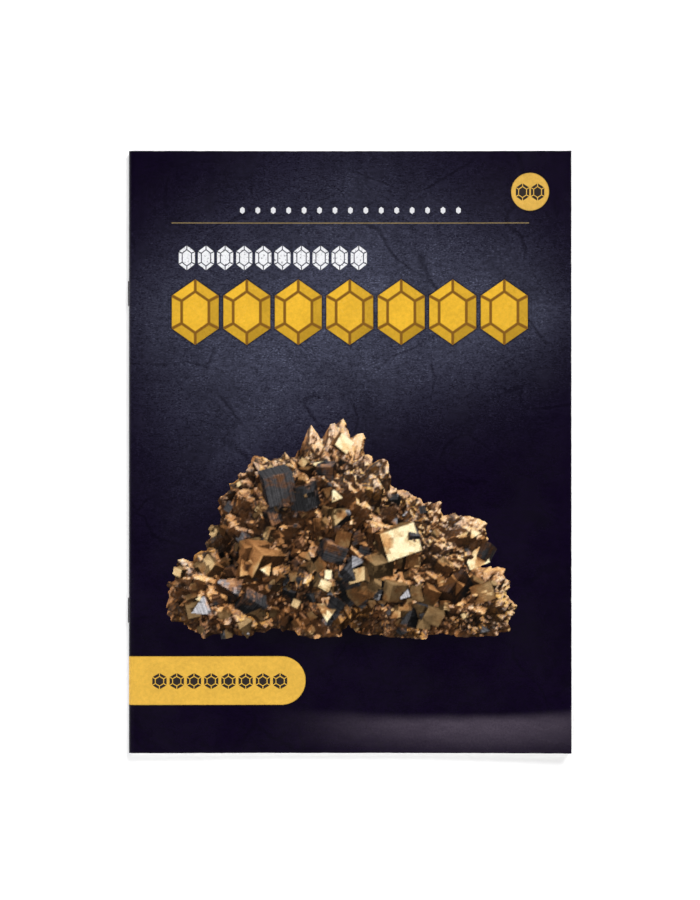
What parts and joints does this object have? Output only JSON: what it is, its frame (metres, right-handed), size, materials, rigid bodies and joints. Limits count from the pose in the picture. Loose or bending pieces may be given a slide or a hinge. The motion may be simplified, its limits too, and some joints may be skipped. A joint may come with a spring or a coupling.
{
  "type": "magazine",
  "caption": "Closed wire-stitched magazine lying flat: a folded printed cover that opens at the spine, nested inner sheets and steel staples.",
  "frame": {"origin": "middle of the underside of the back cover, on the surface the magazine lies on", "axes": "+Y up the page from foot to head, +X from the spine to the fore edge, +Z out of the front cover"},
  "size_m": [0.2103, 0.285, 0.006],
  "materials": {
    "cover_print": "satin dark slate print with gold shapes on coated paper",
    "page_paper": "white coated paper, silk",
    "stitch_wire": "drawn wire"
  },
  "bodies": {
    "pages": {"back_cover": "cover_print", "outer_sheet": "page_paper", "middle_sheet": "page_paper", "centre_sheet": "page_paper", "upper_staple": "stitch_wire", "lower_staple": "stitch_wire"},
    "front_leaf": {"front_cover": "cover_print"}
  },
  "joints": [
    {"name": "cover_turn", "type": "hinge", "parent": "pages", "child": "front_leaf", "pos_m": [-0.1049, 0, 0.00211], "axis": [0, -1, 0], "range_deg": [0, 178]}
  ]
}
